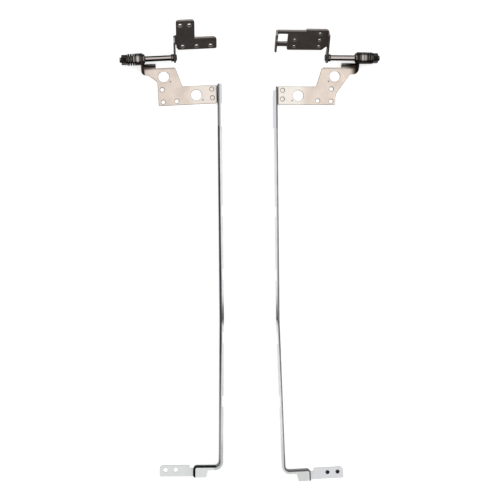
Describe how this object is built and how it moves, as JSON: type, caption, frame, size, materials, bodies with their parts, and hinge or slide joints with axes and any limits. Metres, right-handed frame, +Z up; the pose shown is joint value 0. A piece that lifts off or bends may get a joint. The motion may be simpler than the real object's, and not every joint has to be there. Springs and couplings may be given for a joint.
{
  "type": "laptop hinge pair",
  "caption": "Left and right friction hinges for a notebook computer's lid, each with a long thin display side rail and a black base bracket.",
  "frame": {"origin": "middle of the pair, at the level of the table that it lies on", "axes": "+X to the right hinge, along the shafts; +Y from the rails' feet to the hinge heads; +Z up"},
  "size_m": [0.1427, 0.2504, 0.0185],
  "materials": {
    "plate_nickel": "satin nickel, warm",
    "rail_zinc": "satin zinc",
    "washer_steel": "oiled, dark",
    "shaft_steel": "oiled, dark",
    "bracket_black": "black oxide, satin",
    "insert_black": "blackened"
  },
  "bodies": {
    "lid_side": {"left_lid_plate": "plate_nickel", "left_side_rail": "rail_zinc", "left_ear_washer": "washer_steel", "right_lid_plate": "plate_nickel", "right_side_rail": "rail_zinc", "right_ear_washer": "washer_steel", "right_foot_insert_1": "insert_black", "right_foot_insert_2": "insert_black"},
    "left_base_side": {"left_base_bracket": "bracket_black", "left_hinge_shaft": "shaft_steel", "left_inner_washer": "washer_steel", "left_pressure_washer": "washer_steel", "left_thrust_washer": "washer_steel", "left_disc_spring_1": "washer_steel", "left_disc_spring_2": "washer_steel", "left_disc_spring_3": "washer_steel", "left_disc_spring_4": "washer_steel", "left_disc_spring_5": "washer_steel", "left_disc_spring_6": "washer_steel", "left_end_washer": "washer_steel", "left_lock_nut": "washer_steel"},
    "right_base_side": {"right_base_bracket": "bracket_black", "right_hinge_shaft": "shaft_steel", "right_inner_washer": "washer_steel", "right_pressure_washer": "washer_steel", "right_thrust_washer": "washer_steel", "right_disc_spring_1": "washer_steel", "right_disc_spring_2": "washer_steel", "right_disc_spring_3": "washer_steel", "right_disc_spring_4": "washer_steel", "right_disc_spring_5": "washer_steel", "right_disc_spring_6": "washer_steel", "right_end_washer": "washer_steel", "right_lock_nut": "washer_steel"}
  },
  "joints": [
    {"name": "left_hinge", "type": "hinge", "parent": "lid_side", "child": "left_base_side", "pos_m": [-0.05445, 0.10657, 0.0046], "axis": [0.9988, 0.0489, 0], "range_deg": [-45, 135]},
    {"name": "right_hinge", "type": "hinge", "parent": "lid_side", "child": "right_base_side", "pos_m": [0.05251, 0.10731, 0.0046], "axis": [1, -0.0052, 0], "range_deg": [-45, 135]}
  ]
}
